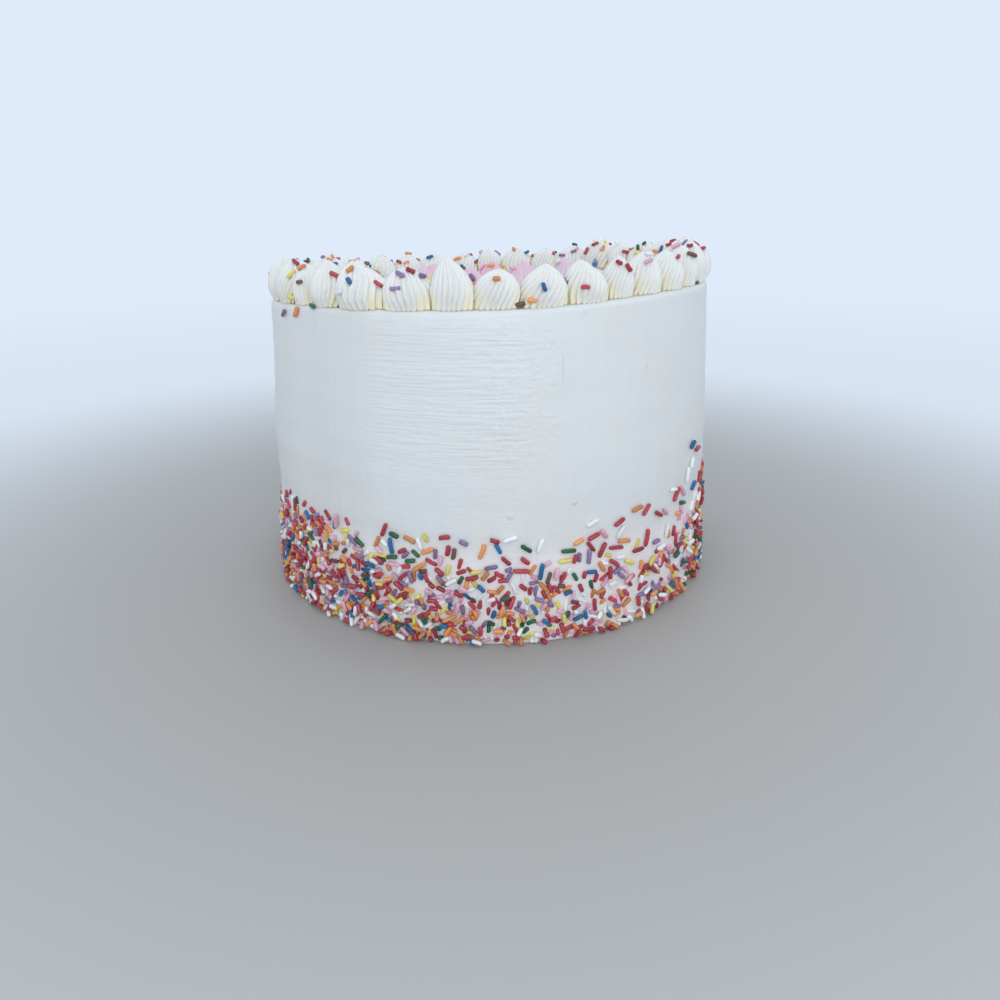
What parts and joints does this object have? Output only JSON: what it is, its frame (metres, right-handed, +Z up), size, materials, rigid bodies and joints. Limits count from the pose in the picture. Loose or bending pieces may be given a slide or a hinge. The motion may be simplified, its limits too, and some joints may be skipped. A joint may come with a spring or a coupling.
{
  "type": "birthday cake with sprinkles",
  "caption": "Tall round cake in white buttercream with piped swirls round the rim, small pink star drops inside them and a band of rod sprinkles at the foot.",
  "frame": {"origin": "middle of the cake's flat underside, on the surface it stands on", "axes": "+Z up, -Y towards the front of the cake, +X to the right seen from the front"},
  "size_m": [0.173, 0.1734, 0.1268],
  "materials": {
    "white_icing": "food: scraped white buttercream, satin, with rod sprinkles in mixed colours at the foot",
    "piped_icing": "food: piped white buttercream, moist, creamier in the grooves, with a few rod sprinkles",
    "pink_icing": "food: piped pale pink buttercream, moist",
    "sprinkles": "food: sugar rod sprinkles, satin, in red, orange, yellow, green, blue, purple, pink, brown and white"
  },
  "bodies": {
    "root": {"cake_body": "white_icing", "swirl_01": "piped_icing", "swirl_02": "piped_icing", "swirl_03": "piped_icing", "swirl_04": "piped_icing", "swirl_05": "piped_icing", "swirl_06": "piped_icing", "swirl_07": "piped_icing", "swirl_08": "piped_icing", "swirl_09": "piped_icing", "swirl_10": "piped_icing", "swirl_11": "piped_icing", "swirl_12": "piped_icing", "swirl_13": "piped_icing", "swirl_14": "piped_icing", "swirl_15": "piped_icing", "swirl_16": "piped_icing", "swirl_17": "piped_icing", "swirl_18": "piped_icing", "swirl_19": "piped_icing", "swirl_20": "piped_icing", "swirl_21": "piped_icing", "swirl_22": "piped_icing", "swirl_23": "piped_icing", "swirl_24": "piped_icing", "swirl_25": "piped_icing", "swirl_26": "piped_icing", "swirl_27": "piped_icing", "swirl_28": "piped_icing", "swirl_29": "piped_icing", "swirl_30": "piped_icing", "swirl_31": "piped_icing", "swirl_32": "piped_icing", "swirl_33": "piped_icing", "swirl_34": "piped_icing", "swirl_35": "piped_icing", "swirl_36": "piped_icing", "pink_drop_01": "pink_icing", "pink_drop_02": "pink_icing", "pink_drop_03": "pink_icing", "pink_drop_04": "pink_icing", "pink_drop_05": "pink_icing", "pink_drop_06": "pink_icing", "pink_drop_07": "pink_icing", "pink_drop_08": "pink_icing", "pink_drop_09": "pink_icing", "pink_drop_10": "pink_icing", "pink_drop_11": "pink_icing", "pink_drop_12": "pink_icing"}
  },
  "joints": []
}
